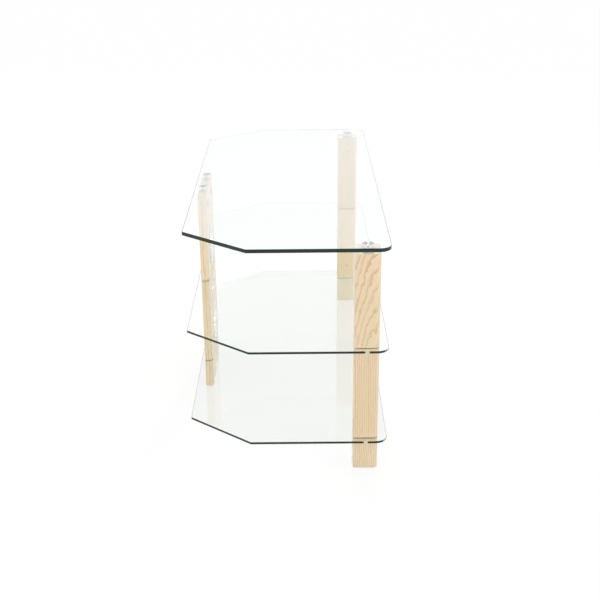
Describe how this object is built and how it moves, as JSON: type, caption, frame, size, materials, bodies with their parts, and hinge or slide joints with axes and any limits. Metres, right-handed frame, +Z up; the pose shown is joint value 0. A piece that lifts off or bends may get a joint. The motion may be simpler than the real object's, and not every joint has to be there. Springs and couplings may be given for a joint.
{
  "type": "corner tv stand",
  "caption": "Corner TV stand: clear glass shelves with chamfered rear corners on square wooden front legs and a wide rear board with cable ports.",
  "frame": {"origin": "on the floor, under the middle of the shelves' box", "axes": "+X along the stand to its right end as seen from the front, +Y from the front to the rear, +Z up"},
  "size_m": [1, 0.424, 0.5077],
  "materials": {
    "clear_glass": "clear tempered float glass, polished edges with a dark green tint",
    "pale_ash": "pale ash with open grain under a satin lacquer",
    "polished_chrome": "polished",
    "zinc_steel": "bright zinc plating",
    "clear_nylon": "translucent natural nylon",
    "ash_plastic": "moulded plastic in the wood's colour",
    "pale_felt": "pale pressed felt"
  },
  "bodies": {
    "root": {"top_glass_shelf": "clear_glass", "middle_glass_shelf": "clear_glass", "bottom_glass_shelf": "clear_glass", "front_left_upper_leg": "pale_ash", "front_left_lower_leg": "pale_ash", "front_left_foot": "pale_ash", "front_right_upper_leg": "pale_ash", "front_right_lower_leg": "pale_ash", "front_right_foot": "pale_ash", "rear_upper_board": "pale_ash", "rear_lower_board": "pale_ash", "rear_foot_board": "pale_ash", "upper_cable_ring": "polished_chrome", "lower_cable_ring": "polished_chrome", "front_left_puck": "polished_chrome", "front_right_puck": "polished_chrome", "rear_left_puck": "polished_chrome", "rear_right_puck": "polished_chrome", "front_left_puck_pin": "zinc_steel", "front_right_puck_pin": "zinc_steel", "rear_left_puck_pin": "zinc_steel", "rear_right_puck_pin": "zinc_steel", "front_left_side_insert": "zinc_steel", "front_right_side_insert": "zinc_steel", "rear_left_side_insert": "zinc_steel", "rear_right_side_insert": "zinc_steel", "front_left_set_screw": "zinc_steel", "front_right_set_screw": "zinc_steel", "rear_left_set_screw": "zinc_steel", "rear_right_set_screw": "zinc_steel", "front_left_screw_cap": "ash_plastic", "front_right_screw_cap": "ash_plastic", "rear_left_screw_cap": "ash_plastic", "rear_right_screw_cap": "ash_plastic", "front_left_bolt_insert": "zinc_steel", "front_right_bolt_insert": "zinc_steel", "rear_left_bolt_insert": "zinc_steel", "rear_right_bolt_insert": "zinc_steel", "front_left_tie_bolt": "zinc_steel", "front_right_tie_bolt": "zinc_steel", "rear_left_tie_bolt": "zinc_steel", "rear_right_tie_bolt": "zinc_steel", "front_left_bolt_washer": "zinc_steel", "front_right_bolt_washer": "zinc_steel", "rear_left_bolt_washer": "zinc_steel", "rear_right_bolt_washer": "zinc_steel", "front_left_middle_bush": "clear_nylon", "front_right_middle_bush": "clear_nylon", "rear_left_middle_bush": "clear_nylon", "rear_right_middle_bush": "clear_nylon", "front_left_bottom_bush": "clear_nylon", "front_right_bottom_bush": "clear_nylon", "rear_left_bottom_bush": "clear_nylon", "rear_right_bottom_bush": "clear_nylon", "front_left_floor_pad": "pale_felt", "front_right_floor_pad": "pale_felt", "rear_left_floor_pad": "pale_felt", "rear_right_floor_pad": "pale_felt"}
  },
  "joints": []
}
